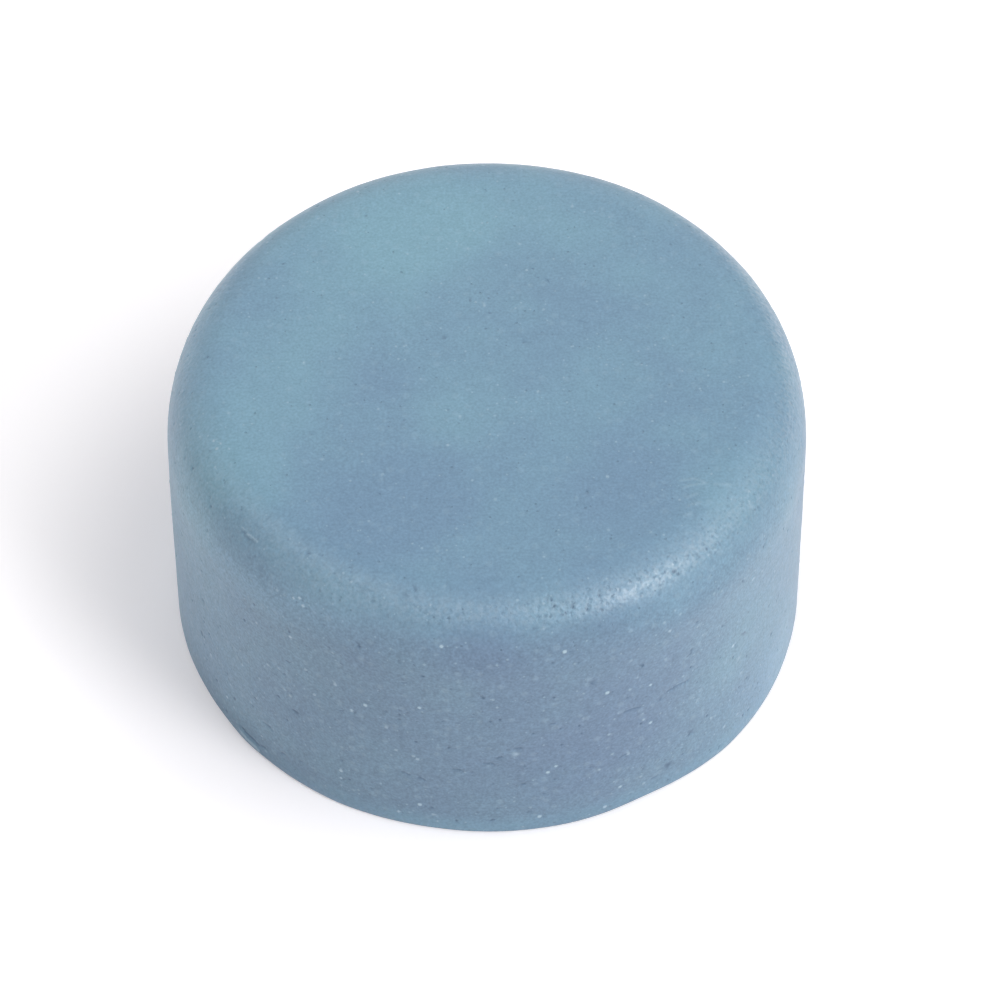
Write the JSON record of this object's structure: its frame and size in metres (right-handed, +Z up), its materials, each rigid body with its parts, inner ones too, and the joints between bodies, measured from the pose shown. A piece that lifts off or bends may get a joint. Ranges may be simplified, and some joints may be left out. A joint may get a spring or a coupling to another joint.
{
  "type": "detailing clay bar",
  "caption": "Round pressed puck of blue-grey detailing clay with a flat foot, a slightly drafted wall and a rounded rim, rubbed over wet paint to lift bonded dirt.",
  "frame": {"origin": "centre of the flat face the puck stands on", "axes": "+Z up along the puck's axis of revolution; X and Y are arbitrary, and the picture is seen from -Y"},
  "size_m": [0.059, 0.059, 0.03],
  "materials": {
    "clay": null
  },
  "bodies": {
    "root": {"clay_puck": "clay"}
  },
  "joints": []
}
